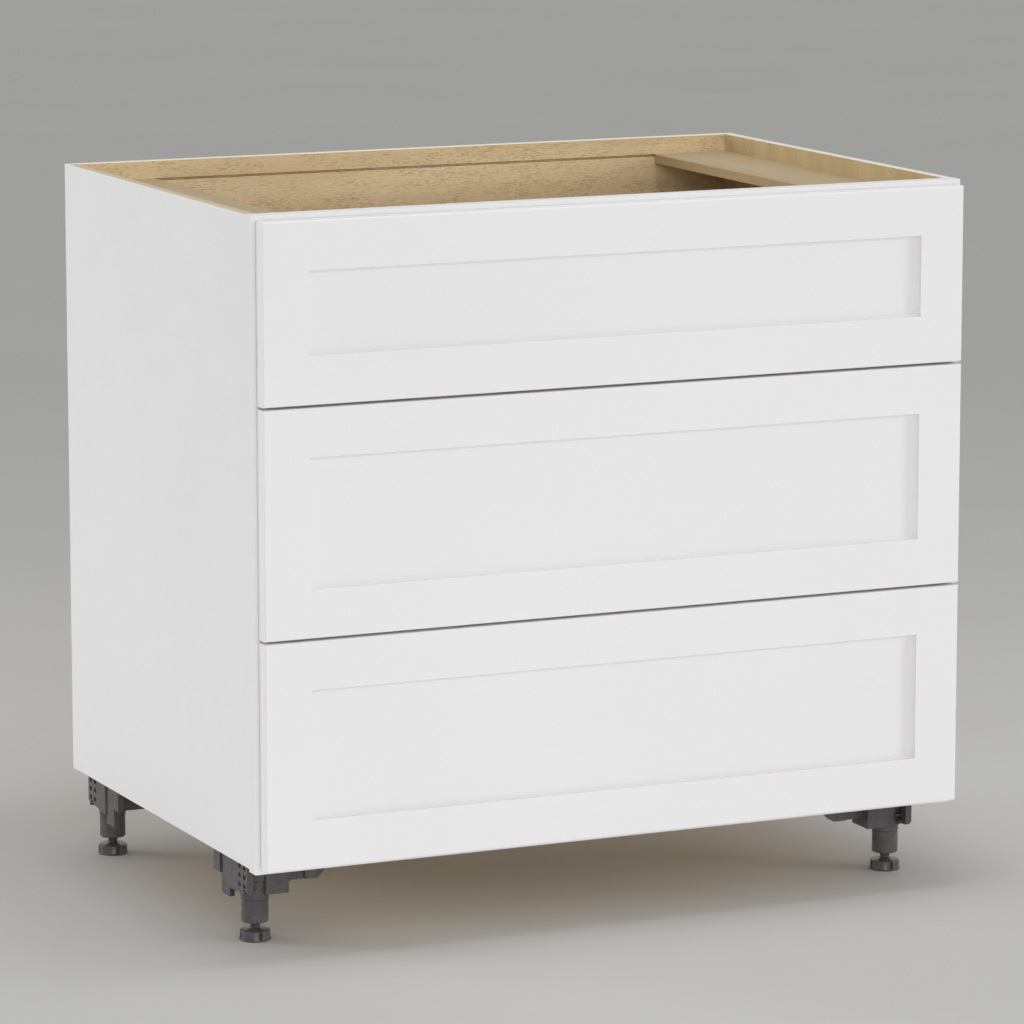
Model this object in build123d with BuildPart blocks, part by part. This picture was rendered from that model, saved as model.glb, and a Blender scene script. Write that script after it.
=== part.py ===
from build123d import *
import os
from math import radians, tan

os.makedirs("parts", exist_ok=True)

# Base cabinet with three drawers, in millimetres. X runs to the right, Y to the back and Z up.
# The origin is on the floor, under the middle of the whole cabinet.

# Case
cabinet_width = 914.4
cabinet_depth = 609.6  # front of the face frame to the back of the cabinet
frame_height = 762.0
frame_drop = 3.0  # the face frame hangs this far below the case
panel_thickness = 12.0
joint_depth = 6.0  # rebates and grooves that hold one panel in another
glue_gap = 0.1
edge_break = 0.8  # rounding of the sawn edges

# Face frame
frame_thickness = 19.0
frame_stile_width = 38.1
frame_rail_height = 38.1
tenon_length = 12.0
tenon_thickness = 7.0
tenon_shoulder = 6.0

# Top boards and the back's top rail
board_width = 101.0
board_drop = 22.0  # cabinet top to the boards' upper face
shadow_gap = 3.0  # open joint below the back's top rail
lap_depth = 5.0
lap_height = 10.0

# Drawer fronts
reveal = 6.0  # face frame left showing round the fronts
front_spacing = 3.0
front_gap = 1.0  # front to face frame
front_thickness = 19.0
upper_front_height = 211.0
border_width = 57.0
recess_depth = 10.5
recess_slope = 4.5  # how far the inner edge leans in over the depth of the recess
slope_bow = 0.7  # how hollow that edge is
panel_tongue = 5.5
panel_groove = 9.0
front_rounding = 2.0

# Drawer boxes
box_rear_room = 65.6  # box to the back panel
box_board = 15.0
box_bottom_thickness = 6.0
box_side_gap = 6.0  # opening edge to box side
box_lift = 14.0  # opening's lower edge to the box's lower edge
bottom_recess = 12.7
upper_box_room = 45.35  # upper box's top to the face frame's top rail
lower_box_room = 12.85  # lower box's top to the rail above it
dovetail_pitch = 34.0
dovetail_share = 0.6  # part of the pitch that a tail takes at its wide end
dovetail_angle = 9.0
box_rounding = 1.5

# Slides
slide_sheet = 1.6
slide_setback = 2.0
slide_overrun = 3.0  # rails reach this far behind the box
channel_width = 21.0
channel_gap = 2.0  # box side to channel
channel_lip = 3.4
rail_lift = 1.0
member_gap = 0.8
flange_gap = 2.0
carriage_setback = 6.0
carriage_rear_room = 62.0  # carriage's end to the box's back
web_thickness = 3.0
web_gap = 0.6
roller_count = 4
roller_gap = 0.3
roller_end_margin = 30.0
roller_side_gap = 0.3
pin_radius = 1.5
running_gap = 0.05
hook_width = 7.0
hook_height = 22.0
hook_pin_radius = 2.5
hook_pin_length = 8.0
bracket_wall = 3.0
bracket_reach = 30.0
bracket_rise = 24.0
bracket_fall = 16.0
bracket_cheek = 8.0

# Legs
leg_height = 105.0  # floor to the underside of the case
leg_inset = 38.0  # side of the cabinet to the leg's axis
front_leg_setback = 98.0  # front of the face frame to the front legs
rear_leg_setback = 36.0  # back of the cabinet to the rear legs
socket_plate = 4.0
socket_wall = 2.5
socket_front = 29.0  # leg's axis to the front of the plate and of the outer wall
socket_back = 31.0
collar_radius = 19.0
collar_shoulder = 32.0  # case to the step where the collar gets thinner
collar_neck_radius = 17.5
collar_height = 49.0
collar_lip_radius = 16.6
collar_lip_height = 6.0
inner_block_start = 6.0  # leg's axis to the block's near side
inner_block_end = 35.0
inner_block_half = 20.3
inner_block_height = 48.0
outer_wall_reach = 21.0  # leg's axis to the wall's outer face
outer_wall_width = 8.0
outer_wall_front = 45.0  # heights of the wall at its front and back
outer_wall_height = 50.0
outer_wall_rounding = 5.0
rear_wall_inset = 2.0
rear_wall_length = 26.0
rear_wall_height = 59.0
lug_length = 20.0
lug_height = 35.0
arm_length = 85.0
arm_end_length = 25.0
arm_end_half = 9.0
arm_neck_half = 6.0
arm_height = 37.0
arm_chamfer = 9.0
window_width = 8.0
window_height = 5.0
window_depth = 2.0
window_margin = 5.0  # front of the outer wall to the first column of windows
window_spacing = 15.0
window_columns = 2
row_pitch = 11.0  # rows of windows, and of the ribs behind them
row_count = 3
rib_thickness = 2.0
rib_reach = 9.0
rib_front = 20.0
cross_pin_radius = 3.0
cross_pin_front = 18.0
cross_pin_drop = 43.0
cross_pin_head = 1.5
cross_pin_tail = 5.0
block_screw_margin = 8.5
plate_screw_margin = 4.5
tube_radius = 16.0
tube_length = 28.0
tube_chamfer = 1.0
spigot_radius = 13.4
spigot_gap = 0.1
spigot_length = 46.0
spindle_radius = 6.25
spindle_length = 68.0
foot_radius = 18.0
foot_height = 12.0
foot_lip_radius = 19.0
foot_lip_height = 2.0
foot_slot_count = 4
foot_slot_width = 3.0
foot_slot_depth = 4.0
foot_chamfer = 1.0
flare_radius = 9.0
flare_height = 1.5

# Screws
case_screw_radius = 2.0
case_screw_head = 4.0
case_screw_length = 40.0
case_screw_margin = 45.0
case_screw_rows = 5
bottom_screw_margin = 155.0  # side of the cabinet to the outer screws of the bottom panel
small_screw_radius = 1.75
small_screw_head = 3.5
small_screw_head_height = 2.2
small_screw_bite = 8.0
front_screw_bite = 6.0
front_screw_margin = 60.0
front_screw_edge = 20.0
rail_screw_margin = 5.5  # faces of the face frame to the screws of the slide rails
bracket_screw_margin = 5.5
screw_gap = 0.05
cross_width = 0.9
cross_depth = 1.2

# Places worked out from the sizes above
half_width = cabinet_width / 2
inner_half = half_width - panel_thickness
front_y = -(front_thickness + front_gap + cabinet_depth) / 2
frame_y = front_y + front_thickness + front_gap
case_y = frame_y + frame_thickness
back_y = frame_y + cabinet_depth
inner_back_y = back_y - panel_thickness
case_z = leg_height
frame_z = case_z - frame_drop
top_z = frame_z + frame_height
board_top_z = top_z - board_drop
back_top_z = board_top_z - shadow_gap

opening_half = half_width - frame_stile_width
front_half = half_width - reveal
fronts_height = frame_height - 2 * reveal - 2 * front_spacing
lower_front_height = (fronts_height - upper_front_height) / 2
lower_front_z = frame_z + reveal
middle_front_z = lower_front_z + lower_front_height + front_spacing
upper_front_z = middle_front_z + lower_front_height + front_spacing
mid_rail_rise = (frame_rail_height - front_spacing) / 2  # rail above the top of a front
lower_rail_z = middle_front_z - front_spacing - mid_rail_rise
upper_rail_z = upper_front_z - front_spacing - mid_rail_rise

box_y = frame_y - front_gap
box_back_y = inner_back_y - box_rear_room
box_half = opening_half - box_side_gap
box_inner_half = box_half - box_board

channel_start = box_side_gap + box_board + channel_gap
channel_end = channel_start + channel_width
channel_middle = channel_start + channel_width / 2
slide_y = frame_y + slide_setback
slide_end_y = box_back_y + slide_overrun
rail_top = box_lift - member_gap

# Each opening starts on top of a rail of the face frame. The two lower boxes are equally high.
lower_opening_z = frame_z + frame_rail_height
middle_opening_z = lower_rail_z + frame_rail_height
upper_opening_z = upper_rail_z + frame_rail_height
lower_box_height = lower_rail_z - lower_opening_z - box_lift - lower_box_room
upper_box_height = top_z - frame_rail_height - upper_opening_z - box_lift - upper_box_room

# Each drawer: name, bottom of its front, height of its front, bottom of its opening, box height
drawers = [
    ("upper", upper_front_z, upper_front_height, upper_opening_z, upper_box_height),
    ("middle", middle_front_z, lower_front_height, middle_opening_z, lower_box_height),
    ("lower", lower_front_z, lower_front_height, lower_opening_z, lower_box_height),
]
sides = [("left", -1), ("right", 1)]

# Directions
forwards = (0, -1, 0)
backwards = (0, 1, 0)
rightwards = (1, 0, 0)
upwards = (0, 0, 1)
downwards = (0, 0, -1)


def block(x_span, y_span, z_span, mode=Mode.ADD):
    # A rectangular block between two limits along each axis, given in either order.
    spans = [sorted(x_span), sorted(y_span), sorted(z_span)]
    centre = [(low + high) / 2 for low, high in spans]
    with Locations(tuple(centre)):
        Box(*[high - low for low, high in spans], mode=mode)


def drill(places, radius, depth):
    # Round holes from the given planes, into the side that the planes face away from.
    with Locations(places):
        Cylinder(radius, depth, align=(Align.CENTER, Align.CENTER, Align.MAX), mode=Mode.SUBTRACT)


def cross_recess(top):
    # The cross in a screw's head.
    reach = small_screw_head
    for length, width in ((reach, cross_width), (cross_width, reach)):
        block((-length / 2, length / 2), (-width / 2, width / 2), (top - cross_depth, top), Mode.SUBTRACT)


def save(piece, name):
    piece.part.label = name
    export_step(piece.part, f"parts/{name}.step")


def small_screw(length):
    # A pan-head screw whose head stands on the plane Z = 0.
    with BuildPart() as screw:
        Cylinder(small_screw_radius, length, align=(Align.CENTER, Align.CENTER, Align.MAX))
        Cylinder(
            small_screw_head,
            small_screw_head_height,
            align=(Align.CENTER, Align.CENTER, Align.MIN),
        )
        fillet(screw.edges().group_by(Axis.Z)[-1], small_screw_head_height / 2)
        cross_recess(small_screw_head_height)
    return screw.part


def case_screw():
    # A countersunk screw whose head is flush with the plane Z = 0.
    head_height = case_screw_head - case_screw_radius
    with BuildPart() as screw:
        Cylinder(case_screw_radius, case_screw_length, align=(Align.CENTER, Align.CENTER, Align.MAX))
        Cone(
            case_screw_radius,
            case_screw_head,
            head_height,
            align=(Align.CENTER, Align.CENTER, Align.MAX),
        )
        cross_recess(0)
    return screw.part


# Where the countersunk screws go: through the back into the side panels, the bottom panel and
# the edges of the sides behind the top rail.
side_screw_x = half_width - panel_thickness / 2
side_screw_z = case_z + case_screw_margin
side_screw_step = (back_top_z - lap_height - case_screw_margin - side_screw_z) / (case_screw_rows - 1)
back_screws = [
    Plane(origin=(sign * side_screw_x, back_y, side_screw_z + row * side_screw_step), z_dir=backwards)
    for _, sign in sides
    for row in range(case_screw_rows)
]
back_screws += [
    Plane(origin=(screw_x, back_y, case_z + panel_thickness / 2), z_dir=backwards)
    for screw_x in (bottom_screw_margin - half_width, 0, half_width - bottom_screw_margin)
]
top_rail_screws = [
    Plane(origin=(sign * side_screw_x, back_y, top_z - board_drop / 2), z_dir=backwards)
    for _, sign in sides
]


def screw_seats(places):
    # The countersunk holes for those screws.
    drill(places, case_screw_radius + screw_gap, case_screw_length + screw_gap)
    head_height = case_screw_head - case_screw_radius
    with Locations(places):
        Cone(
            case_screw_radius + screw_gap,
            case_screw_head + screw_gap,
            head_height,
            align=(Align.CENTER, Align.CENTER, Align.MAX),
            mode=Mode.SUBTRACT,
        )


# Leg places: name, side, which way the socket's back points, and the Y of the axis
leg_rows = [("front", 1, frame_y + front_leg_setback), ("rear", -1, back_y - rear_leg_setback)]
legs = [(f"{row}_{side}", sign, turn, leg_y) for row, turn, leg_y in leg_rows for side, sign in sides]
wall_inside = outer_wall_width - outer_wall_reach
leg_screw_spots = [
    (inner_block_end - block_screw_margin, block_screw_margin - inner_block_half),
    (inner_block_end - block_screw_margin, inner_block_half - block_screw_margin),
    (wall_inside + plate_screw_margin, socket_back - plate_screw_margin),
]
leg_screws = [
    Plane(
        origin=(sign * (half_width - leg_inset - x), leg_y + turn * y, case_z - socket_plate),
        z_dir=downwards,
    )
    for _, sign, turn, leg_y in legs
    for x, y in leg_screw_spots
]

# The slide rails are screwed to the stiles in front and sit in brackets on the back panel.
rail_front_screws = [
    Plane(
        origin=(sign * (opening_half - slide_sheet), screw_y, opening_z + box_lift / 2),
        z_dir=(-sign, 0, 0),
    )
    for _, _, _, opening_z, _ in drawers
    for _, sign in sides
    for screw_y in (frame_y + rail_screw_margin, case_y - rail_screw_margin)
]

bracket_screws = [
    Plane(
        origin=(sign * (opening_half - channel_middle), inner_back_y - bracket_wall, opening_z + rise),
        z_dir=forwards,
    )
    for _, _, _, opening_z, _ in drawers
    for _, sign in sides
    for rise in (bracket_rise - bracket_screw_margin, bracket_screw_margin - bracket_fall)
]

# Side panels: a rebate along the bottom holds the bottom panel and a groove holds the top board.
for side, sign in sides:
    groove_x = (sign * (inner_half + joint_depth), sign * inner_half)
    with BuildPart() as side_panel:
        block((sign * inner_half, sign * half_width), (case_y, inner_back_y), (case_z, top_z))
        long_edges = side_panel.edges().filter_by(Axis.Y).sort_by(Axis.X)
        fillet(long_edges[-2:] if sign > 0 else long_edges[:2], edge_break)
        block(groove_x, (case_y, inner_back_y), (case_z, case_z + panel_thickness), Mode.SUBTRACT)
        board_z = (board_top_z - panel_thickness, board_top_z)
        block(groove_x, (case_y, inner_back_y), board_z, Mode.SUBTRACT)
        screw_seats(back_screws + top_rail_screws)
    save(side_panel, f"{side}_side_panel")

with BuildPart() as bottom_panel:
    panel_reach = inner_half + joint_depth - glue_gap
    block((-panel_reach, panel_reach), (case_y, inner_back_y), (case_z, case_z + panel_thickness))
    drill(leg_screws, small_screw_radius + screw_gap, socket_plate + small_screw_bite + screw_gap)
    screw_seats(back_screws)
save(bottom_panel, "bottom_panel")

# The back lies over the rear edges of the sides and is lapped behind the top rail.
with BuildPart() as back_panel:
    block((-half_width, half_width), (inner_back_y, back_y), (case_z, back_top_z))
    block(
        (-half_width, half_width),
        (back_y - lap_depth - glue_gap, back_y),
        (back_top_z - lap_height - glue_gap, back_top_z),
        Mode.SUBTRACT,
    )
    screw_seats(back_screws)
    drill(bracket_screws, small_screw_radius + screw_gap, bracket_wall + small_screw_bite + screw_gap)
save(back_panel, "back_panel")

with BuildPart() as back_top_rail:
    block((-half_width, half_width), (inner_back_y, back_y), (board_top_z, top_z))
    fillet(back_top_rail.edges().group_by(Axis.Z)[-1].filter_by(Axis.X), edge_break)
    block((-half_width, half_width), (back_y - lap_depth, back_y), (back_top_z - lap_height, board_top_z))
    # The joint below the rail is open between the side panels only.
    for _, sign in sides:
        block(
            (sign * inner_half, sign * half_width),
            (inner_back_y, back_y - lap_depth),
            (back_top_z, board_top_z),
        )
    screw_seats(top_rail_screws)
save(back_top_rail, "back_top_rail")

for side, sign in sides:
    with BuildPart() as top_board:
        block(
            (sign * (inner_half - board_width), sign * (inner_half + joint_depth - glue_gap)),
            (case_y, inner_back_y),
            (board_top_z - panel_thickness, board_top_z),
        )
        inner_edges = top_board.edges().filter_by(Axis.Y).sort_by(Axis.X)
        fillet(inner_edges[:2] if sign > 0 else inner_edges[-2:], edge_break)
    save(top_board, f"{side}_top_board")

# Face frame: rails with stub tenons between two full-height stiles
rail_spots = [
    ("top_rail", [top_z - frame_rail_height]),
    ("mid_rails", [upper_rail_z, lower_rail_z]),
    ("bottom_rail", [frame_z]),
]


def tenons(rail_z, gap, mode=Mode.ADD):
    # The tenons at both ends of a rail, or with a gap the mortises that take them.
    middle_y = frame_y + frame_thickness / 2
    y_span = (middle_y - tenon_thickness / 2 - gap, middle_y + tenon_thickness / 2 + gap)
    z_span = (rail_z + tenon_shoulder - gap, rail_z + frame_rail_height - tenon_shoulder + gap)
    for _, sign in sides:
        block((sign * opening_half, sign * (opening_half + tenon_length + gap)), y_span, z_span, mode)


for side, sign in sides:
    with BuildPart() as stile:
        block((sign * opening_half, sign * half_width), (frame_y, case_y), (frame_z, top_z))
        outer_edge = stile.edges().filter_by(Axis.Z).group_by(Axis.Y)[0].sort_by(Axis.X)
        fillet(outer_edge[-1] if sign > 0 else outer_edge[0], edge_break)
        for _, spots in rail_spots:
            for rail_z in spots:
                tenons(rail_z, glue_gap, Mode.SUBTRACT)
        drill(rail_front_screws, small_screw_radius + screw_gap, slide_sheet + small_screw_bite + screw_gap)
    save(stile, f"face_{side}_stile")

for name, spots in rail_spots:
    with BuildPart() as face_rail:
        for rail_z in spots:
            block((-opening_half, opening_half), (frame_y, case_y), (rail_z, rail_z + frame_rail_height))
            tenons(rail_z, 0)
    save(face_rail, f"face_{name}")

# Leg socket, tube and foot, drawn for a left leg with the axis at the origin, +X towards the
# middle of the cabinet and Z = 0 at the underside of the case


def hollow(x_span, y_span, height):
    # The space inside a block of the socket, open below.
    wall = socket_wall
    block(
        (x_span[0] + wall, x_span[1] - wall),
        (y_span[0] + wall, y_span[1] - wall),
        (-height, -socket_plate),
        Mode.SUBTRACT,
    )


collar_bottom = -collar_height - collar_lip_height
rear_wall_end = socket_back + rear_wall_length
arm_curve = inner_block_height - arm_height
arm_end_x = arm_length - arm_end_length

with BuildPart() as left_socket:
    # Outer wall, rounded below, and the plate
    with BuildSketch(Plane.YZ.offset(-outer_wall_reach)) as wall_face:
        with BuildLine():
            Polyline(
                (-socket_front, 0),
                (-socket_front, -outer_wall_front),
                (socket_back, -outer_wall_height),
                (socket_back, 0),
                close=True,
            )
        make_face()
    extrude(wall_face.sketch, amount=outer_wall_width)
    outer_edges = left_socket.faces().sort_by(Axis.X)[0].edges()
    fillet(outer_edges.sort_by(Axis.Z)[0], outer_wall_rounding)
    block((-outer_wall_reach, inner_block_end), (-socket_front, socket_back), (-socket_plate, 0))

    # The wall goes on behind, set in a little and deeper, and ends in a lug.
    rear_x = (rear_wall_inset - outer_wall_reach, wall_inside)
    block(rear_x, (socket_back, rear_wall_end), (-rear_wall_height, 0))
    block((-outer_wall_reach, wall_inside), (rear_wall_end, rear_wall_end + lug_length), (-lug_height, 0))

    # Inner block and the arm that runs from it under the case
    block(
        (inner_block_start, inner_block_end),
        (-inner_block_half, inner_block_half),
        (-inner_block_height, 0),
    )
    arm_root = inner_block_end - socket_wall
    with BuildSketch(Plane.XZ.offset(-arm_neck_half)) as arm_neck:
        with BuildLine():
            CenterArc((inner_block_end + arm_curve, -inner_block_height), arm_curve, 90, 90)
            Polyline(
                (inner_block_end + arm_curve, -arm_height),
                (arm_end_x, -arm_height),
                (arm_end_x, 0),
                (arm_root, 0),
                (arm_root, -inner_block_height),
                (inner_block_end, -inner_block_height),
            )
        make_face()
    extrude(arm_neck.sketch, amount=2 * arm_neck_half)
    with BuildSketch(Plane.XZ.offset(-arm_end_half)) as arm_end:
        with BuildLine():
            Polyline(
                (arm_end_x, 0),
                (arm_end_x, -arm_height),
                (arm_length - arm_chamfer, -arm_height),
                (arm_length, -arm_height + arm_chamfer),
                (arm_length, 0),
                close=True,
            )
        make_face()
    extrude(arm_end.sketch, amount=2 * arm_end_half)
    for x_span, half in (
        ((inner_block_start, inner_block_end), inner_block_half),
        ((arm_root, arm_end_x), arm_neck_half),
        ((arm_end_x, arm_length - arm_chamfer), arm_end_half),
    ):
        hollow(x_span, (-half, half), inner_block_height)

    # Windows in the outer face, and ribs between the wall and the collar
    for row in range(row_count):
        row_z = -(row + 1) * row_pitch
        for column in range(window_columns):
            window_y = window_margin + column * window_spacing - socket_front
            block(
                (-outer_wall_reach, window_depth - outer_wall_reach),
                (window_y, window_y + window_width),
                (row_z - window_height, row_z),
                Mode.SUBTRACT,
            )
        block((wall_inside, wall_inside + rib_reach), (-rib_front, 0), (row_z - rib_thickness, row_z))
    pin_head = Plane(
        origin=(-outer_wall_reach - cross_pin_head, -cross_pin_front, -cross_pin_drop),
        z_dir=rightwards,
    )
    with Locations(pin_head):
        Cylinder(
            cross_pin_radius,
            cross_pin_head + outer_wall_width + cross_pin_tail,
            align=(Align.CENTER, Align.CENTER, Align.MIN),
        )

    # Stepped collar with the bore for the tube
    for radius, height in (
        (collar_radius, collar_shoulder),
        (collar_neck_radius, collar_height),
        (collar_lip_radius, -collar_bottom),
    ):
        Cylinder(radius, height, align=(Align.CENTER, Align.CENTER, Align.MAX))
    with Locations((0, 0, -socket_plate)):
        Cylinder(
            spigot_radius + spigot_gap,
            -collar_bottom,
            align=(Align.CENTER, Align.CENTER, Align.MAX),
            mode=Mode.SUBTRACT,
        )
    spot_planes = [Plane(origin=(x, y, -socket_plate), z_dir=downwards) for x, y in leg_screw_spots]
    drill(spot_planes, small_screw_radius + screw_gap, socket_plate)

with BuildPart() as leg_tube:
    with Locations((0, 0, collar_bottom)):
        Cylinder(tube_radius, tube_length, align=(Align.CENTER, Align.CENTER, Align.MAX))
    chamfer(leg_tube.edges().filter_by(GeomType.CIRCLE), tube_chamfer)
    with Locations((0, 0, collar_bottom)):
        Cylinder(spigot_radius, spigot_length, align=(Align.CENTER, Align.CENTER, Align.MIN))
    with Locations((0, 0, collar_bottom - tube_length)):
        Cylinder(
            spindle_radius + running_gap,
            tube_length + spigot_length,
            align=(Align.CENTER, Align.CENTER, Align.MIN),
            mode=Mode.SUBTRACT,
        )

with BuildPart() as leg_foot:
    with Locations((0, 0, -leg_height)):
        Cylinder(foot_radius, foot_height, align=(Align.CENTER, Align.CENTER, Align.MIN))
        chamfer(leg_foot.edges().group_by(Axis.Z)[-1], foot_chamfer)
        Cylinder(foot_lip_radius, foot_lip_height, align=(Align.CENTER, Align.CENTER, Align.MIN))
    slot_height = foot_height - foot_lip_height - foot_chamfer
    with Locations((0, 0, foot_lip_height - leg_height)):
        with PolarLocations(foot_radius, foot_slot_count):
            Box(
                2 * foot_slot_depth,
                foot_slot_width,
                slot_height,
                align=(Align.CENTER, Align.CENTER, Align.MIN),
                mode=Mode.SUBTRACT,
            )
    with Locations((0, 0, foot_height - leg_height)):
        Cone(flare_radius, spindle_radius, flare_height, align=(Align.CENTER, Align.CENTER, Align.MIN))
        Cylinder(spindle_radius, spindle_length, align=(Align.CENTER, Align.CENTER, Align.MIN))

# The sockets are handed, with their lugs towards the middle of the cabinet's depth.
for name, sign, turn, leg_y in legs:
    leg_top = Location((sign * (half_width - leg_inset), leg_y, case_z))
    handed_socket = left_socket.part
    if sign > 0:
        handed_socket = mirror(handed_socket, about=Plane.YZ)
    if turn < 0:
        handed_socket = mirror(handed_socket, about=Plane.XZ)
    with BuildPart() as leg_socket:
        with Locations(leg_top):
            add(handed_socket)
    save(leg_socket, f"{name}_leg_socket")
    with BuildPart() as tube:
        with Locations(leg_top):
            add(leg_tube.part)
    save(tube, f"{name}_leg_tube")
    with BuildPart() as foot:
        with Locations(leg_top):
            add(leg_foot.part)
    save(foot, f"{name}_leg_foot")


def mould(corner, inward, length):
    # Cuts the hollow moulding and the panel groove along the inner edge of a front's member.
    # The corner is where its outer edge starts, and inward points across it.
    plane = Plane(origin=corner, x_dir=inward, z_dir=Vector(*inward).cross(Vector(*backwards)))
    inner = border_width + recess_slope
    beyond = inner + recess_slope
    groove = inner - panel_groove
    groove_back = recess_depth + panel_tongue
    hollow_point = (border_width + recess_slope * (1 - slope_bow), recess_depth * slope_bow)
    with BuildSketch(plane) as waste:
        with BuildLine():
            ThreePointArc((border_width, 0), hollow_point, (inner, recess_depth))
            Polyline((inner, recess_depth), (beyond, recess_depth), (beyond, -recess_slope))
            Polyline((beyond, -recess_slope), (border_width, -recess_slope), (border_width, 0))
        make_face()
        with BuildLine():
            Polyline(
                (groove, recess_depth),
                (beyond, recess_depth),
                (beyond, groove_back),
                (groove, groove_back),
                close=True,
            )
        make_face()
    extrude(waste.sketch, amount=length, mode=Mode.SUBTRACT)


def tail_row(y_wide, y_narrow, z_low, height, grow, mode):
    # Dovetails at one end of both box sides. They are widest at the box's outer face.
    count = round(height / dovetail_pitch)
    pitch = height / count
    wide = pitch * dovetail_share / 2 + grow
    narrow = wide - box_board * tan(radians(dovetail_angle))
    for _, sign in sides:
        with BuildSketch(Plane.YZ.offset(-box_half if sign < 0 else box_inner_half)) as tails:
            for tail in range(count):
                middle = z_low + (tail + 0.5) * pitch
                with BuildLine():
                    Polyline(
                        (y_wide, middle - wide),
                        (y_wide, middle + wide),
                        (y_narrow, middle + narrow),
                        (y_narrow, middle - narrow),
                        close=True,
                    )
                make_face()
        extrude(tails.sketch, amount=box_board, mode=mode)


def inset(sign, *distances):
    # Places measured from one edge of the opening towards the middle.
    return [sign * (opening_half - distance) for distance in distances]


def channel(sign, y_span, z_span, plate_z, lip_z):
    # A lipped channel: the plate, two walls, and two lips across from the plate.
    block(inset(sign, channel_start, channel_end), y_span, plate_z)
    for wall, lip in (
        (channel_start, channel_start + slide_sheet + channel_lip),
        (channel_end, channel_end - slide_sheet - channel_lip),
    ):
        inner_wall = wall + slide_sheet * (1 if lip > wall else -1)
        block(inset(sign, wall, inner_wall), y_span, z_span)
        block(inset(sign, wall, lip), y_span, lip_z)


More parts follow.
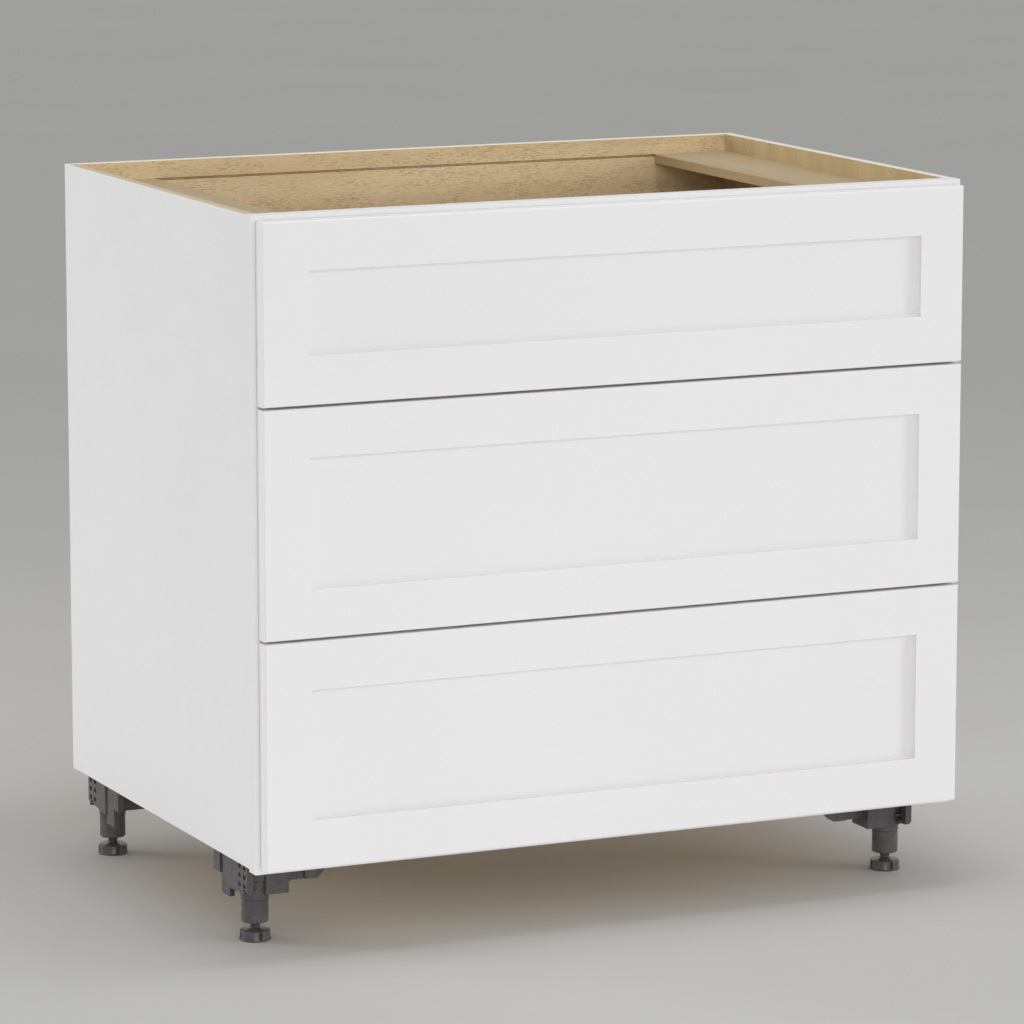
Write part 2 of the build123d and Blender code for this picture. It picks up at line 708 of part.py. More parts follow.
for name, front_z, front_height, opening_z, box_height in drawers:
    front_top = front_z + front_height
    box_z = opening_z + box_lift
    box_top = box_z + box_height
    bottom_z = box_z + bottom_recess
    inner_front_y = box_y + box_board
    inner_rear_y = box_back_y - box_board

    # Screws that hold the front on the box, from inside the box
    front_screw_x = box_inner_half - front_screw_margin
    front_screws = [
        Plane(origin=(x, inner_front_y, z), z_dir=backwards)
        for x in (-front_screw_x, 0, front_screw_x)
        for z in (bottom_z + front_screw_edge, box_top - front_screw_edge)
    ]
    front_screw_length = box_board + front_screw_bite

    # Five-piece shaker front
    member_width = border_width + recess_slope
    member_y = (front_y, front_y + front_thickness)
    with BuildPart() as stiles:
        for _, sign in sides:
            stile_x = (sign * (front_half - member_width), sign * front_half)
            block(stile_x, member_y, (front_z, front_top))
        face_edges = stiles.edges().group_by(Axis.Y)[0]
        uprights = face_edges.filter_by(Axis.Z).sort_by(Axis.X)
        fillet([uprights[0], uprights[-1]] + face_edges.filter_by(Axis.X), front_rounding)
        mould((-front_half, front_y, front_z), rightwards, front_height)
        mould((front_half, front_y, front_top), (-1, 0, 0), front_height)
    save(stiles, f"{name}_front_stiles")

    tenon_reach = front_half - member_width + panel_groove - glue_gap
    with BuildPart() as rails:
        for near, far in ((front_z, front_z + member_width), (front_top, front_top - member_width)):
            block((-tenon_reach, tenon_reach), member_y, (near, far))
        long_edges = rails.edges().group_by(Axis.Y)[0].filter_by(Axis.X).sort_by(Axis.Z)
        fillet([long_edges[0], long_edges[-1]], front_rounding)
        mould((tenon_reach, front_y, front_z), upwards, 2 * tenon_reach)
        mould((-tenon_reach, front_y, front_top), downwards, 2 * tenon_reach)
        add(stiles.part, mode=Mode.SUBTRACT)
        drill(front_screws, small_screw_radius + screw_gap, front_screw_length + screw_gap)
    save(rails, f"{name}_front_rails")

    field_x = front_half - border_width - recess_slope - glue_gap
    field_z = border_width + recess_slope + glue_gap
    tongue = panel_groove - 2 * glue_gap
    recess_y = front_y + recess_depth
    with BuildPart() as front_panel:
        block(
            (-field_x, field_x),
            (recess_y, front_y + front_thickness),
            (front_z + field_z, front_top - field_z),
        )
        block(
            (-field_x - tongue, field_x + tongue),
            (recess_y, recess_y + panel_tongue - glue_gap),
            (front_z + field_z - tongue, front_top - field_z + tongue),
        )
        drill(front_screws, small_screw_radius + screw_gap, front_screw_length + screw_gap)
    save(front_panel, f"{name}_front_panel")

    with BuildPart() as drawer_screws:
        with Locations(front_screws):
            add(small_screw(front_screw_length))
    save(drawer_screws, f"{name}_drawer_screws")

    # Dovetailed box with a bottom held in grooves
    groove_z = (bottom_z - glue_gap, bottom_z + box_bottom_thickness + glue_gap)
    groove_y = (inner_front_y - joint_depth, inner_rear_y + joint_depth)
    groove_x = box_inner_half + joint_depth
    with BuildPart() as box_sides:
        for _, sign in sides:
            block((sign * box_inner_half, sign * box_half), (inner_front_y, inner_rear_y), (box_z, box_top))
        top_edges = box_sides.edges().group_by(Axis.Z)[-1].filter_by(Axis.Y)
        fillet(top_edges, box_rounding)
        for _, sign in sides:
            groove_span = (sign * box_inner_half, sign * groove_x)
            block(groove_span, (inner_front_y, inner_rear_y), groove_z, Mode.SUBTRACT)
        tail_row(box_y, inner_front_y, box_z, box_height, 0, Mode.ADD)
        tail_row(box_back_y, inner_rear_y, box_z, box_height, 0, Mode.ADD)
    save(box_sides, f"{name}_box_sides")

    hook_z = bottom_z + hook_height - hook_width
    with BuildPart() as box_ends:
        for near, far in ((box_y, inner_front_y), (box_back_y, inner_rear_y)):
            block((-box_half, box_half), (near, far), (box_z, box_top))
        top_edges = box_ends.edges().group_by(Axis.Z)[-1].filter_by(Axis.X)
        fillet(top_edges, box_rounding)
        block((-box_inner_half, box_inner_half), groove_y, groove_z, Mode.SUBTRACT)
        tail_row(box_y, inner_front_y, box_z, box_height, glue_gap, Mode.SUBTRACT)
        tail_row(box_back_y, inner_rear_y, box_z, box_height, glue_gap, Mode.SUBTRACT)
        drill(front_screws, small_screw_radius + screw_gap, box_board)
        # Notches in the back for the slides, and holes for the hooks
        for _, sign in sides:
            notch_x = inset(sign, channel_start - web_gap, channel_end + web_gap)
            block(notch_x, (inner_rear_y, box_back_y), (box_z, bottom_z + roller_gap), Mode.SUBTRACT)
            hook_x = sign * (opening_half - channel_middle)
            hook_hole = Plane(origin=(hook_x, box_back_y, hook_z), z_dir=backwards)
            drill([hook_hole], hook_pin_radius + roller_gap, hook_pin_length + roller_gap)
    save(box_ends, f"{name}_box_ends")

    with BuildPart() as box_bottom:
        reach = groove_x - glue_gap
        block(
            (-reach, reach),
            (groove_y[0] + glue_gap, groove_y[1] - glue_gap),
            (bottom_z, bottom_z + box_bottom_thickness),
        )
        for near, far in ((groove_y[0], inner_front_y), (groove_y[1], inner_rear_y)):
            for _, sign in sides:
                block((sign * box_inner_half, sign * reach), (near, far), groove_z, Mode.SUBTRACT)
    save(box_bottom, f"{name}_box_bottom")

    # Undermount slides. The rail and the runner are channels that face each other, and the
    # carriage runs between them on rollers.
    rail_z = (opening_z + rail_lift, opening_z + rail_top)
    runner_z = (box_z, bottom_z)
    runner_y = (inner_front_y + roller_gap, box_back_y + roller_gap)
    carriage_y = (inner_front_y + carriage_setback, box_back_y - carriage_rear_room)
    roller_step = (carriage_y[1] - carriage_y[0] - 2 * roller_end_margin) / (roller_count - 1)
    roller_spots = [carriage_y[0] + roller_end_margin + i * roller_step for i in range(roller_count)]
    roller_rows = [
        (rail_z[0] + slide_sheet, rail_z[1] - slide_sheet),
        (runner_z[0] + slide_sheet, runner_z[1] - slide_sheet),
    ]

    with BuildPart() as slide_rails:
        rail_y = (slide_y, slide_end_y)
        for _, sign in sides:
            # The channel starts behind the front of the box. The base and flange reach the stile.
            channel(
                sign,
                (inner_front_y + roller_gap, slide_end_y),
                rail_z,
                (rail_z[0], rail_z[0] + slide_sheet),
                (rail_z[1] - slide_sheet, rail_z[1]),
            )
            block(inset(sign, 0, channel_end), rail_y, (rail_z[0], rail_z[0] + slide_sheet))
            block(inset(sign, 0, slide_sheet), rail_y, (rail_z[0], box_z - flange_gap))
        drill(rail_front_screws, small_screw_radius + screw_gap, slide_sheet)
    save(slide_rails, f"{name}_slide_rails")

    with BuildPart() as slide_runners:
        for _, sign in sides:
            channel(
                sign,
                runner_y,
                runner_z,
                (runner_z[1] - slide_sheet, runner_z[1]),
                (runner_z[0], runner_z[0] + slide_sheet),
            )
            # A hook behind the back of the box, with a pin into it
            hook_x = sign * (opening_half - channel_middle)
            hook_y = (box_back_y + roller_gap, box_back_y + roller_gap + slide_sheet)
            hook_span = (hook_x - hook_width / 2, hook_x + hook_width / 2)
            block(hook_span, hook_y, (runner_z[1] - slide_sheet, runner_z[1] + hook_height))
            pin_plane = Plane(origin=(hook_x, hook_y[0], hook_z), z_dir=backwards)
            with Locations(pin_plane):
                Cylinder(hook_pin_radius, hook_pin_length, align=(Align.CENTER, Align.CENTER, Align.MAX))
    save(slide_runners, f"{name}_slide_runners")

    pin_reach = channel_width / 2 - slide_sheet - web_gap
    with BuildPart() as carriages:
        for _, sign in sides:
            web_x = inset(sign, channel_middle - web_thickness / 2, channel_middle + web_thickness / 2)
            pin_x = sign * (opening_half - channel_middle)
            block(web_x, carriage_y, (roller_rows[0][0] + web_gap, roller_rows[1][1] - web_gap))
            for low, high in roller_rows:
                pin_z = (low + high) / 2
                pins = [Plane(origin=(pin_x, spot, pin_z), z_dir=rightwards) for spot in roller_spots]
                with Locations(pins):
                    Cylinder(pin_radius, 2 * pin_reach)
    save(carriages, f"{name}_slide_carriages")

    with BuildPart() as rollers:
        inner_side = web_thickness / 2 + roller_side_gap
        roller_width = pin_reach - inner_side
        for low, high in roller_rows:
            radius = (high - low) / 2 - roller_gap
            for _, sign in sides:
                web_x = sign * (opening_half - channel_middle)
                for flank in (-1, 1):
                    wheel_x = web_x + flank * (inner_side + roller_width / 2)
                    wheels = [
                        Plane(origin=(wheel_x, spot, (low + high) / 2), z_dir=rightwards)
                        for spot in roller_spots
                    ]
                    with Locations(wheels):
                        Cylinder(radius, roller_width)
                        Cylinder(pin_radius + running_gap, roller_width, mode=Mode.SUBTRACT)
    save(rollers, f"{name}_slide_rollers")

# Rear brackets: a plate on the back panel and a tongue that carries the end of each rail
with BuildPart() as brackets:
    for _, _, _, opening_z, _ in drawers:
        tongue_z = (opening_z + rail_lift - bracket_wall, opening_z + rail_lift)
        for _, sign in sides:
            outer_x = sign * (opening_half - channel_start)
            inner_x = sign * (opening_half - channel_end - roller_gap)
            cheek_x = sign * (opening_half - channel_end - roller_gap - bracket_wall)
            plate_z = (opening_z - bracket_fall, opening_z + bracket_rise)
            block((outer_x, cheek_x), (inner_back_y - bracket_wall, inner_back_y), plate_z)
            block((outer_x, cheek_x), (slide_end_y - bracket_reach, inner_back_y), tongue_z)
            cheek_z = (tongue_z[0], tongue_z[1] + bracket_cheek)
            block((inner_x, cheek_x), (slide_end_y - bracket_reach, inner_back_y), cheek_z)
            stop_y = (slide_end_y + roller_gap, slide_end_y + roller_gap + bracket_wall)
            block((outer_x, cheek_x), stop_y, cheek_z)
    drill(bracket_screws, small_screw_radius + screw_gap, bracket_wall)
save(brackets, "slide_rear_brackets")

# The screws of the legs, slides and brackets are all alike.
with BuildPart() as hardware_screws:
    with Locations(leg_screws):
        add(small_screw(socket_plate + small_screw_bite))
    with Locations(rail_front_screws):
        add(small_screw(slide_sheet + small_screw_bite))
    with Locations(bracket_screws):
        add(small_screw(bracket_wall + small_screw_bite))
save(hardware_screws, "hardware_screws")

with BuildPart() as case_screws:
    with Locations(back_screws + top_rail_screws):
        add(case_screw())
save(case_screws, "case_screws")
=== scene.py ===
import math

import bpy
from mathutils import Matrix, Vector


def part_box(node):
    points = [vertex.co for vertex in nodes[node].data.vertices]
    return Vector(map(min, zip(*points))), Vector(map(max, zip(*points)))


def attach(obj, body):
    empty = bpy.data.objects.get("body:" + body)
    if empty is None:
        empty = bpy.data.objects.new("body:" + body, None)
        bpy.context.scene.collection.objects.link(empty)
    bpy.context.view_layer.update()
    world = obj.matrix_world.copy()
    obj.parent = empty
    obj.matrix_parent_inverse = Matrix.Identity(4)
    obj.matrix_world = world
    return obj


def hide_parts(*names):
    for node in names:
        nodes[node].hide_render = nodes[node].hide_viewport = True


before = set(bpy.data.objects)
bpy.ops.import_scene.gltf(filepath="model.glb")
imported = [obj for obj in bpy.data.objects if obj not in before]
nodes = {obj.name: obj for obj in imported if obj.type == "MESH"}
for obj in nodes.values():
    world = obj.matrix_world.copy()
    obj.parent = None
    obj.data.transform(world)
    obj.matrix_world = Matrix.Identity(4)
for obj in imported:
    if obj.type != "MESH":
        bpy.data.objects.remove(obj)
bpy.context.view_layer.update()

drawers = ("upper", "middle", "lower")
legNames = ("front_left", "front_right", "rear_left", "rear_right")
print("frame loaded:", len(nodes), "nodes")


def newMaterial(name):
    material = bpy.data.materials.new(name)
    material.use_nodes = True
    return material, material.node_tree, material.node_tree.nodes["Principled BSDF"]


def addNode(tree, kind, inputs=None, **settings):
    # adds a node; an input is either a plain value or a socket to link from
    node = tree.nodes.new(kind)
    for key, value in settings.items():
        setattr(node, key, value)
    for key, value in (inputs or {}).items():
        if isinstance(value, bpy.types.NodeSocket):
            tree.links.new(value, node.inputs[key])
        else:
            node.inputs[key].default_value = value
    return node


def finishShader(tree, shader, colour, roughness, normal, gloss):
    tree.links.new(colour, shader.inputs["Base Color"])
    tree.links.new(roughness, shader.inputs["Roughness"])
    tree.links.new(normal, shader.inputs["Normal"])
    shader.inputs["Specular IOR Level"].default_value = gloss


def rgb(red, green, blue):
    return (red, green, blue, 1.0)


def remap(tree, value, band, target=(0.0, 1.0)):
    # maps a band of the value onto the target range
    ends = {0: value, 1: band[0], 2: band[1], 3: target[0], 4: target[1]}
    return addNode(tree, "ShaderNodeMapRange", ends).outputs[0]


def mixColour(tree, factor, first, second):
    # 6 and 7 are the colours that go in, 2 the colour that comes out
    node = addNode(tree, "ShaderNodeMix", {0: factor, 6: first, 7: second}, data_type="RGBA")
    return node.outputs[2]


def mixValue(tree, factor, first, second):
    return addNode(tree, "ShaderNodeMix", {0: factor, 2: first, 3: second}).outputs[0]


def combine(tree, operation, first, second=0.0):
    return addNode(tree, "ShaderNodeMath", {0: first, 1: second}, operation=operation).outputs[0]


def weigh(tree, *parts):
    # the sum of the values, each with its weight
    total = None
    for value, weight in parts:
        share = combine(tree, "MULTIPLY", value, weight)
        total = share if total is None else combine(tree, "ADD", total, share)
    return total


def place(tree, move=(0, 0, 0), turn=(0, 0, 0), stretch=(1, 1, 1), source=None):
    # the piece's own coordinates, moved, turned and stretched
    if source is None:
        source = addNode(tree, "ShaderNodeTexCoord").outputs["Object"]
    turned = [math.radians(angle) for angle in turn]
    settings = {"Vector": source, "Location": move, "Rotation": turned, "Scale": stretch}
    return addNode(tree, "ShaderNodeMapping", settings).outputs[0]


def noise(tree, vector, pattern):
    # a pattern is its scale per metre, its detail and its roughness
    scale, detail, roughness = pattern
    settings = {"Vector": vector, "Scale": scale, "Detail": detail, "Roughness": roughness}
    return addNode(tree, "ShaderNodeTexNoise", settings).outputs[0]


def relief(tree, height, strength, depth, edge=None):
    # a bump, on edges softened by the given radius
    settings = {"Height": height, "Strength": strength, "Distance": depth}
    if edge:
        softened = addNode(tree, "ShaderNodeBevel", {"Radius": edge}, samples=4)
        settings["Normal"] = softened.outputs[0]
    return addNode(tree, "ShaderNodeBump", settings).outputs[0]


noiseBand = (0.3, 0.7)   # most of a noise lies in here

whitePaint = {
    "colour": rgb(0.845, 0.838, 0.842),
    "deeper": rgb(0.822, 0.812, 0.815),
    "patches": (2.6, 2.0, 0.5),
    "cloud": (28.6, 4.0, 0.6),
    "cloudWeight": 0.35,
    "toneBand": (0.4, 0.95),
    "roughness": (0.34, 0.46),
    "peel": (520.0, 2.0, 0.45),   # orange peel left by the spray gun
    "peelStrength": 0.35,
    "peelDepth": 0.00003,
    "gloss": 0.45,
}


def paintSockets(tree, look):
    vector = place(tree)
    patches = noise(tree, vector, look["patches"])
    cloud = noise(tree, vector, look["cloud"])
    peel = noise(tree, vector, look["peel"])
    tone = remap(tree, weigh(tree, (patches, 1.0), (cloud, look["cloudWeight"])), look["toneBand"])
    colour = mixColour(tree, tone, look["colour"], look["deeper"])
    roughness = remap(tree, cloud, noiseBand, look["roughness"])
    return colour, roughness, peel


def paintFinish(name, look):
    material, tree, shader = newMaterial(name)
    colour, roughness, peel = paintSockets(tree, look)
    normal = relief(tree, peel, look["peelStrength"], look["peelDepth"])
    finishShader(tree, shader, colour, roughness, normal, look["gloss"])
    return material


# each pattern of the wood: its stretch along the grain, and its noise
caseVeneer = {
    "grain": "X",            # the axis that the grain runs along
    "light": rgb(0.8, 0.65, 0.41),
    "dark": rgb(0.61, 0.455, 0.255),
    "toneBand": (0.4, 1.05),
    "fibres": (0.03, (1100.0, 3.0, 0.6)),
    "fibreWeight": 0.55,
    "cloud": (0.3, (14.0, 4.0, 0.6)),
    "cloudWeight": 0.6,
    "rings": 0.25,           # how strongly the growth rings show
    "ringStep": 0.022,
    "ringFit": 6.3,          # brings a ring step to the wave's own scale
    "ringStretch": 0.07,
    "ringShift": (0.0, 0.31, 0.17),
    "ringWaver": {"Distortion": 7.0, "Detail": 3.0, "Detail Scale": 2.2},
    "fleck": rgb(0.28, 0.19, 0.095),
    "flecks": 0.5,           # how strongly the pores show
    "dashes": (0.13, (1250.0, 2.0, 0.5)),   # pores under 1 mm thick
    "dashBand": (0.52, 0.6),
    "clusters": (0.4, (45.0, 3.0, 0.5)),
    "clusterBand": (0.36, 0.6),
    "clusterRange": (0.3, 1.0),
    "roughness": (0.42, 0.6),
    "relief": 0.00008,
    "reliefStrength": 0.5,
    "edge": 0.0005,
    "gloss": 0.4,
}
grainTurns = {"X": (0, 0, 0), "Y": (0, 0, -90), "Z": (0, 90, 0)}


def timberSockets(tree, look):
    along = place(tree, turn=grainTurns[look["grain"]])

    def pattern(name):
        stretch, texture = look[name]
        return noise(tree, place(tree, stretch=(stretch, 1, 1), source=along), texture)

    log = place(tree, move=look["ringShift"], stretch=(look["ringStretch"], 1, 1), source=along)
    ringScale = 1 / (look["ringStep"] * look["ringFit"])
    rings = addNode(
        tree,
        "ShaderNodeTexWave",
        {"Vector": log, "Scale": ringScale, **look["ringWaver"]},
        wave_type="RINGS",
        rings_direction="X",
    ).outputs[1]
    fibres = pattern("fibres")
    cloud = pattern("cloud")
    dashes = remap(tree, pattern("dashes"), look["dashBand"], (0.0, look["flecks"]))
    clusters = remap(tree, pattern("clusters"), look["clusterBand"], look["clusterRange"])
    pores = combine(tree, "MULTIPLY", dashes, clusters)
    shares = ((rings, look["rings"]), (fibres, look["fibreWeight"]), (cloud, look["cloudWeight"]))
    tone = remap(tree, weigh(tree, *shares), look["toneBand"])
    colour = mixColour(tree, tone, look["light"], look["dark"])
    colour = mixColour(tree, pores, colour, look["fleck"])
    roughness = remap(tree, fibres, noiseBand, look["roughness"])
    height = combine(tree, "SUBTRACT", fibres, pores)
    return colour, roughness, height


def timberFinish(name, look):
    material, tree, shader = newMaterial(name)
    colour, roughness, height = timberSockets(tree, look)
    normal = relief(tree, height, look["reliefStrength"], look["relief"], look["edge"])
    finishShader(tree, shader, colour, roughness, normal, look["gloss"])
    return material


# case boards: paint on the cabinet's outer sides, veneer inside and a bare edge on top
caseBoard = {
    "skin": 0.0009,
    # the dull edge colour is the pale one darkened: painted shade on the left panel's top edge. The
    # pale colour on the right panel's top edge is partly the bare edge's own tone and partly
    # painted light, since both top edges take the same light
    "shadedEdgeCopy": rgb(0.6, 0.5, 0.345),
    "paleEdge": rgb(0.86, 0.8, 0.66),
    "sideVeneer": dict(
        caseVeneer,
        grain="Z",
        flecks=0.3,
        light=rgb(0.62, 0.485, 0.27),
        dark=rgb(0.49, 0.365, 0.185),
        ringShift=(0.4, 0.1, 0.27),
    ),
    "relief": 0.00004,
    "reliefStrength": 0.35,
    "gloss": 0.42,
}


def boardFinish(name, veneer, edge):
    material, tree, shader = newMaterial(name)
    low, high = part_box("left_side_panel")
    skin = caseBoard["skin"]
    xyz = addNode(tree, "ShaderNodeSeparateXYZ", {0: place(tree)})
    fromMiddle = combine(tree, "ABSOLUTE", xyz.outputs[0])
    outside = combine(tree, "GREATER_THAN", fromMiddle, abs(low.x) - skin)
    onTop = combine(tree, "GREATER_THAN", xyz.outputs[2], high.z - skin / 2)
    woodColour, woodRoughness, woodHeight = timberSockets(tree, veneer)
    paintColour, paintRoughness, paintHeight = paintSockets(tree, whitePaint)
    # the top edge takes the given edge colour, which on the left panel is painted shade
    colour = mixColour(tree, onTop, woodColour, edge)
    colour = mixColour(tree, outside, colour, paintColour)
    roughness = mixValue(tree, outside, woodRoughness, paintRoughness)
    height = mixValue(tree, outside, woodHeight, paintHeight)
    normal = relief(tree, height, caseBoard["reliefStrength"], caseBoard["relief"])
    finishShader(tree, shader, colour, roughness, normal, caseBoard["gloss"])
    return material


legPlastic = {
    "colour": rgb(0.067, 0.064, 0.065),
    "worn": rgb(0.1, 0.096, 0.097),
    "cloud": (30.0, 4.0, 0.6),
    "scuffs": (260.0, 3.0, 0.6),
    "scuffStretch": (1, 1, 0.15),   # the scuffs run up and down
    "scuffWeight": 0.5,
    "toneBand": (0.55, 1.0),
    "roughness": (0.2, 0.32),
    "grain": (1700.0, 2.0, 0.5),    # spark-eroded mould surface
    "grainStrength": 0.4,
    "grainDepth": 0.00004,
    "edge": 0.0005,
    "gloss": 0.5,
}
nylon = dict(
    legPlastic,
    colour=rgb(0.78, 0.77, 0.73),
    worn=rgb(0.66, 0.65, 0.61),
    roughness=(0.35, 0.5),
    grain=(2200.0, 2.0, 0.5),
    grainDepth=0.00002,
)


def plasticFinish(name, look):
    material, tree, shader = newMaterial(name)
    vector = place(tree)
    cloud = noise(tree, vector, look["cloud"])
    scuffs = noise(tree, place(tree, stretch=look["scuffStretch"]), look["scuffs"])
    grain = noise(tree, vector, look["grain"])
    tone = remap(tree, weigh(tree, (cloud, 1.0), (scuffs, look["scuffWeight"])), look["toneBand"])
    colour = mixColour(tree, tone, look["colour"], look["worn"])
    roughness = remap(tree, cloud, noiseBand, look["roughness"])
    normal = relief(tree, grain, look["grainStrength"], look["grainDepth"], look["edge"])
    finishShader(tree, shader, colour, roughness, normal, look["gloss"])
    return material


zincSheet = {
    "colour": rgb(0.6, 0.61, 0.62),
    "cooler": rgb(0.5, 0.515, 0.54),
    "spangle": 130.0,          # zinc crystals per metre
    "spangleWeight": 0.45,
    "marks": (1400.0, 3.0, 0.6),
    "markWeight": 0.55,
    "rolling": (1, 0.03, 1),   # the roller marks run along the slide
    "toneBand": (0.2, 0.8),
    "roughness": (0.28, 0.45),
    "relief": 0.00003,
    "reliefStrength": 0.25,
    "edge": 0.0004,
    "gloss": 0.5,
}


def zincFinish(name, look):
    material, tree, shader = newMaterial(name)
    cells = addNode(tree, "ShaderNodeTexVoronoi", {"Vector": place(tree), "Scale": look["spangle"]})
    crystals = addNode(tree, "ShaderNodeSeparateColor", {0: cells.outputs[1]}).outputs[0]
    marks = noise(tree, place(tree, stretch=look["rolling"]), look["marks"])
    tone = weigh(tree, (crystals, look["spangleWeight"]), (marks, look["markWeight"]))
    colour = mixColour(tree, tone, look["colour"], look["cooler"])
    roughness = remap(tree, tone, look["toneBand"], look["roughness"])
    normal = relief(tree, marks, look["reliefStrength"], look["relief"], look["edge"])
    finishShader(tree, shader, colour, roughness, normal, look["gloss"])
    shader.inputs["Metallic"].default_value = 1.0
    return material


boardLook = dict(
    caseVeneer,
    grain="Y",
    flecks=0.2,
    light=rgb(0.52, 0.41, 0.235),
    dark=rgb(0.42, 0.315, 0.17),
)
boxLook = dict(
    caseVeneer,
    light=rgb(0.74, 0.6, 0.39),
    dark=rgb(0.6, 0.455, 0.27),
    fleck=rgb(0.42, 0.28, 0.14),
    flecks=0.35,
    rings=0.4,
    ringStep=0.014,
    ringShift=(0.1, 0.12, 0.09),
)
plyLook = dict(boxLook, ringStep=0.05, ringShift=(0.2, 0.5, 0.02), flecks=0.5)
screwLook = dict(zincSheet, colour=rgb(0.66, 0.63, 0.55), rolling=(1, 1, 1))

lacquer = paintFinish("whiteLacquer", whitePaint)
greyPlastic = plasticFinish("legPlastic", legPlastic)
whiteNylon = plasticFinish("rollerNylon", nylon)
zinc = zincFinish("zincSheet", zincSheet)
sideVeneer, paleEdge = caseBoard["sideVeneer"], caseBoard["paleEdge"]
boards = {
    # the left panel's top edge gets the dull edge colour as painted shade, the right one the pale
    # colour
    "left_side_panel": boardFinish("leftPanelSkin", sideVeneer, caseBoard["shadedEdgeCopy"]),
    "right_side_panel": boardFinish("rightPanelSkin", sideVeneer, paleEdge),
}
for boardName in ("back_panel", "back_top_rail", "bottom_panel"):
    boards[boardName] = boardFinish(f"{boardName}Veneer", caseVeneer, paleEdge)
finishByEnding = {
    "_top_board": timberFinish("boardVeneer", boardLook),
    "_box_sides": timberFinish("boxSideBirch", dict(boxLook, grain="Y")),
    "_box_ends": timberFinish("boxEndBirch", boxLook),
    "_box_bottom": timberFinish("boxBottomPly", plyLook),
    "_rollers": whiteNylon,
    "_screws": zincFinish("screwZinc", screwLook),
}
print("finishes ready")


def finishFor(name):
    if name in boards:
        return boards[name]
    if "_leg_" in name or name == "slide_rear_brackets":
        return greyPlastic
    if name.startswith("face_") or "_front_" in name:
        return lacquer
    for ending, finish in finishByEnding.items():
        if name.endswith(ending):
            return finish
    return zinc


for nodeName, node in nodes.items():
    node.data.materials.clear()
    node.data.materials.append(finishFor(nodeName))
print("nodes dressed")


def startPiece():
    if bpy.context.object and bpy.context.object.mode != "OBJECT":
        bpy.ops.object.mode_set(mode="OBJECT")
    bpy.ops.object.select_all(action="DESELECT")


def pickParts(piece, kind, parts, test):
    # leaves the piece in edit mode with only the wanted faces or edges selected
    bpy.ops.object.mode_set(mode="EDIT")
    bpy.ops.mesh.select_mode(type=kind)
    bpy.ops.mesh.select_all(action="DESELECT")
    bpy.ops.object.mode_set(mode="OBJECT")
    for part in parts:
        part.select = test(part)
    bpy.ops.object.mode_set(mode="EDIT")


def turnOutwards():
    bpy.ops.mesh.select_all(action="SELECT")
    bpy.ops.mesh.normals_make_consistent(inside=False)
    bpy.ops.object.mode_set(mode="OBJECT")


def turnUp(rings, sides):
    # a turned form: a disc extruded upwards from ring to ring of radius and height
    radius, height = rings[0]
    bpy.ops.mesh.primitive_circle_add(
        vertices=sides, radius=radius, fill_type="NGON", location=(0, 0, height)
    )
    piece = bpy.context.object
    bpy.ops.object.transform_apply(location=True)
    bpy.ops.object.mode_set(mode="EDIT")
    bpy.ops.mesh.select_mode(type="FACE")
    bpy.ops.mesh.select_all(action="SELECT")
    for nextRadius, nextHeight in rings[1:]:
        rise = (0, 0, nextHeight - height)
        bpy.ops.mesh.extrude_region_move(TRANSFORM_OT_translate={"value": rise})
        scale = nextRadius / radius
        bpy.ops.transform.resize(value=(scale, scale, 1), center_override=(0, 0, nextHeight))
        radius, height = nextRadius, nextHeight
    turnOutwards()
    return piece


def bevelEdges(piece, width, segments, angle):
    bpy.ops.object.modifier_add(type="BEVEL")
    bevel = piece.modifiers[-1]
    bevel.width = width
    bevel.segments = segments
    bevel.limit_method = "ANGLE"
    bevel.angle_limit = math.radians(angle)
    bpy.ops.object.modifier_apply(modifier=bevel.name)


def joinTo(piece, others):
    startPiece()
    for other in others:
        other.select_set(True)
    bpy.context.view_layer.objects.active = piece
    bpy.ops.object.join()


def copyTo(piece, name, spot):
    # a copy with its own mesh, put in its place inside the mesh
    startPiece()
    bpy.context.view_layer.objects.active = piece
    piece.select_set(True)
    bpy.ops.object.duplicate()
    copy = bpy.context.object
    copy.name = name
    copy.location = spot
    bpy.ops.object.transform_apply(location=True)
    return copy


def discard(piece):
    startPiece()
    piece.select_set(True)
    bpy.ops.object.delete()


# a disc with four slots in its rim, on a threaded spindle
levellingFoot = {
    "sides": 72,
    "rings": (
        (0.0184, 0.0), (0.019, 0.0006), (0.019, 0.0018), (0.018, 0.0022), (0.018, 0.011),
        (0.0172, 0.012), (0.009, 0.012), (0.0068, 0.0131), (0.0054, 0.0138),
    ),
    "slotTurns": (0, 90, 180, 270),
    "slotSpan": (0.0022, 0.011),   # heights that a slot lies between
    "slotReach": 0.0165,           # faces nearer the middle are no part of the rim
    "slotHalfWidth": 3.0,          # degrees: takes in one facet each side
    "slotDepth": 0.004,
    "edge": 0.00022,
    "edgeSegments": 2,
    "edgeAngle": 35,
    "smoothAngle": 32,
    "threadStart": 0.0125,
    "pitch": 0.002,
    "turns": 32,
    "steps": 36,
    "weld": 0.00001,
    # thread profile: radius, and share of the pitch
    "profile": ((0.0054, 0.0), (0.0054, 0.2), (0.0061, 0.45), (0.0061, 0.75), (0.0054, 1.0)),
}


def footDisc(look):
    startPiece()
    disc = turnUp(look["rings"], look["sides"])
    low, high = look["slotSpan"]
    halfSlot = math.radians(look["slotHalfWidth"])
    for turn in look["slotTurns"]:
        outwards = Vector((math.cos(math.radians(turn)), math.sin(math.radians(turn)), 0))

        def inSlot(face):
            flat = Vector((face.center.x, face.center.y, 0))
            onRim = low < face.center.z < high and flat.length > look["slotReach"]
            return onRim and flat.angle(outwards) < halfSlot

        pickParts(disc, "FACE", disc.data.polygons, inSlot)
        inwards = -look["slotDepth"] * outwards
        bpy.ops.mesh.extrude_region_move(TRANSFORM_OT_translate={"value": inwards})
        bpy.ops.object.mode_set(mode="OBJECT")
    bevelEdges(disc, look["edge"], look["edgeSegments"], look["edgeAngle"])
    return disc


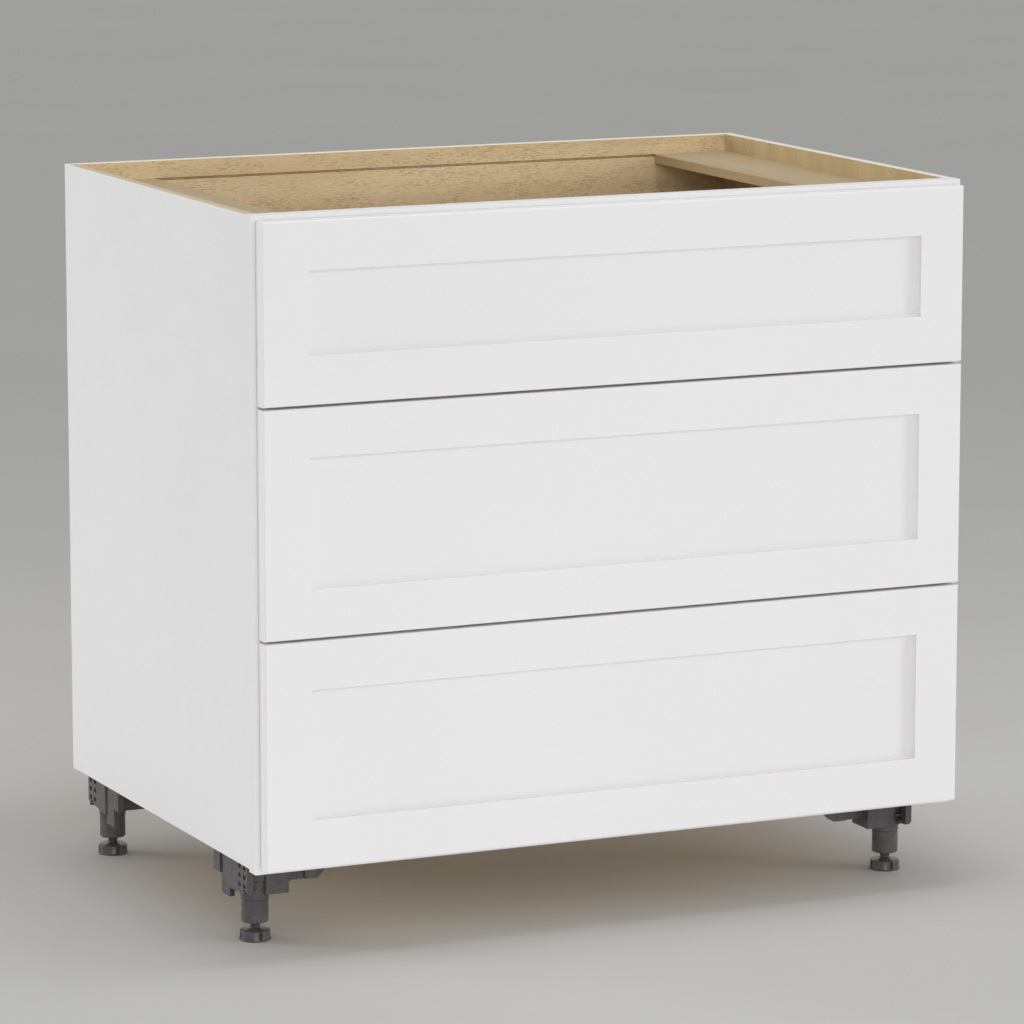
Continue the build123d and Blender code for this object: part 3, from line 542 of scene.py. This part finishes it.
def footThread(look):
    # the profile of one turn, opened at its closing edge and screwed upwards
    startPiece()
    profile = look["profile"]
    bpy.ops.mesh.primitive_circle_add(
        vertices=len(profile), radius=profile[0][0], fill_type="NOTHING", location=(0, 0, 0)
    )
    thread = bpy.context.object
    for vertex, (radius, share) in zip(thread.data.vertices, profile):
        vertex.co = (radius, 0, look["threadStart"] + share * look["pitch"])
    ends = {0, len(profile) - 1}
    pickParts(thread, "EDGE", thread.data.edges, lambda edge: set(edge.vertices) == ends)
    bpy.ops.mesh.delete(type="EDGE")
    bpy.ops.object.mode_set(mode="OBJECT")
    bpy.ops.object.modifier_add(type="SCREW")
    screw = thread.modifiers[-1]
    screw.axis = "Z"
    screw.screw_offset = look["pitch"]
    screw.iterations = look["turns"]
    screw.steps = look["steps"]
    screw.render_steps = look["steps"]
    bpy.ops.object.modifier_apply(modifier=screw.name)
    bpy.ops.object.mode_set(mode="EDIT")
    bpy.ops.mesh.select_all(action="SELECT")
    bpy.ops.mesh.remove_doubles(threshold=look["weld"])
    bpy.ops.mesh.fill_holes(sides=0)
    turnOutwards()
    return thread


def levellingFeet(look):
    disc = footDisc(look)
    thread = footThread(look)
    joinTo(disc, (thread, disc))
    bpy.ops.object.shade_smooth_by_angle(angle=math.radians(look["smoothAngle"]))
    for leg in legNames:
        low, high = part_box(f"{leg}_leg_foot")
        spot = ((low.x + high.x) / 2, (low.y + high.y) / 2, low.z)
        foot = copyTo(disc, f"{leg}_threaded_foot", spot)
        foot.data.materials.append(greyPlastic)
        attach(foot, f"{leg}_foot")
        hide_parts(f"{leg}_leg_foot")
    discard(disc)


levellingFeet(levellingFoot)
print("levelling feet ready")


# soft pads on the backs of the fronts, where they meet the face frame
bumper = {
    "sides": 24,
    "rings": ((0.005, 0.0), (0.005, 0.00025), (0.0047, 0.0005), (0.0038, 0.0007), (0.0022, 0.0008)),
    "fromSide": 0.016,
    "fromEnd": 0.022,
    "smoothAngle": 40,
}


def frontBumpers(look):
    startPiece()
    pad = turnUp(look["rings"], look["sides"])
    pad.rotation_euler = (math.radians(-90), 0, 0)
    bpy.ops.object.transform_apply(rotation=True)
    bpy.ops.object.shade_smooth_by_angle(angle=math.radians(look["smoothAngle"]))
    for drawer in drawers:
        low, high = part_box(f"{drawer}_front_stiles")
        pads = []
        for x in (low.x + look["fromSide"], high.x - look["fromSide"]):
            for z in (low.z + look["fromEnd"], high.z - look["fromEnd"]):
                pads.append(copyTo(pad, f"{drawer}_front_bumpers", (x, high.y, z)))
        joinTo(pads[0], pads)
        pads[0].data.materials.append(whiteNylon)
        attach(pads[0], f"{drawer}_drawer")
    discard(pad)


frontBumpers(bumper)
print("bumpers ready")


studio = {
    "floorSize": 120.0,
    "floor": rgb(0.6, 0.598, 0.59),
    "floorPatch": rgb(0.585, 0.582, 0.573),
    "floorPattern": (1.3, 3.0, 0.5),
    "floorBand": (0.35, 0.65),
    "floorBounce": rgb(0.95, 0.945, 0.945),   # what the cabinet is lit by from below
    "floorRoughness": 0.75,
    "floorGloss": 0.2,
    "world": rgb(1.0, 1.0, 1.0),
    "worldStrength": 0.561,
    # place, size, power, aim and cone in degrees of each softbox
    "lamps": {
        "keyLight": ((5.4, -3.8, 1.9), 3.2, 12.1, (0.3, -0.2, 0.42), 60),
        "frontLight": ((-1.7, -6.0, 1.62), 3.0, 10.9, (0.0, 0.0, 0.42), 60),
        "fillLight": ((-5.6, 4.1, 1.5), 2.6, 15.5, (-0.4, 0.3, 0.2), 60),
        "topLight": ((0.2, -0.35, 2.8), 0.6, 11.6, (0.0, 0.0, 0.6), 180),
    },
}


def floorFinish():
    # the floor looks grey, and throws more light up at the cabinet than it seems to
    material, tree, shader = newMaterial("paleFloor")
    patches = remap(tree, noise(tree, place(tree), studio["floorPattern"]), studio["floorBand"])
    seen = mixColour(tree, patches, studio["floor"], studio["floorPatch"])
    paths = addNode(tree, "ShaderNodeLightPath").outputs
    looks = combine(tree, "MAXIMUM", paths["Is Camera Ray"], paths["Is Glossy Ray"])
    looks = combine(tree, "MAXIMUM", looks, paths["Is Transmission Ray"])
    colour = mixColour(tree, looks, studio["floorBounce"], seen)
    tree.links.new(colour, shader.inputs["Base Color"])
    shader.inputs["Roughness"].default_value = studio["floorRoughness"]
    shader.inputs["Specular IOR Level"].default_value = studio["floorGloss"]
    return material


bpy.ops.mesh.primitive_plane_add(size=studio["floorSize"], location=(0, 0, 0))
floor = bpy.context.object
floor.name = "floor"
floor.data.materials.append(floorFinish())

world = bpy.data.worlds.new("studioWorld")
bpy.context.scene.world = world
world.use_nodes = True
background = world.node_tree.nodes["Background"]
background.inputs["Color"].default_value = studio["world"]
background.inputs["Strength"].default_value = studio["worldStrength"]


def softbox(name, spot, size, power, aim, cone):
    bpy.ops.object.light_add(type="AREA", location=spot)
    lamp = bpy.context.object
    lamp.name = name
    lamp.data.shape = "DISK"
    lamp.data.size = size
    lamp.data.energy = power
    lamp.data.spread = math.radians(cone)
    lamp.rotation_mode = "QUATERNION"
    lamp.rotation_quaternion = (Vector(aim) - Vector(spot)).to_track_quat("-Z", "Y")


for lampName, lampSettings in studio["lamps"].items():
    softbox(lampName, *lampSettings)

shot = {
    "place": (-2.6586, -5.7893, 1.5505),
    "tilt": 80.168,
    "turn": -24.687,
    "lens": 185.77,
    "sensor": 36.0,
    "sight": 200.0,   # how far the camera sees
}
angles = (math.radians(shot["tilt"]), 0, math.radians(shot["turn"]))
bpy.ops.object.camera_add(location=shot["place"], rotation=angles)
camera = bpy.context.object
camera.data.lens = shot["lens"]
camera.data.sensor_width = shot["sensor"]
camera.data.clip_end = shot["sight"]
camera.data.dof.use_dof = False
bpy.context.scene.camera = camera
bpy.context.scene.view_settings.view_transform = "Standard"
print("studio ready")
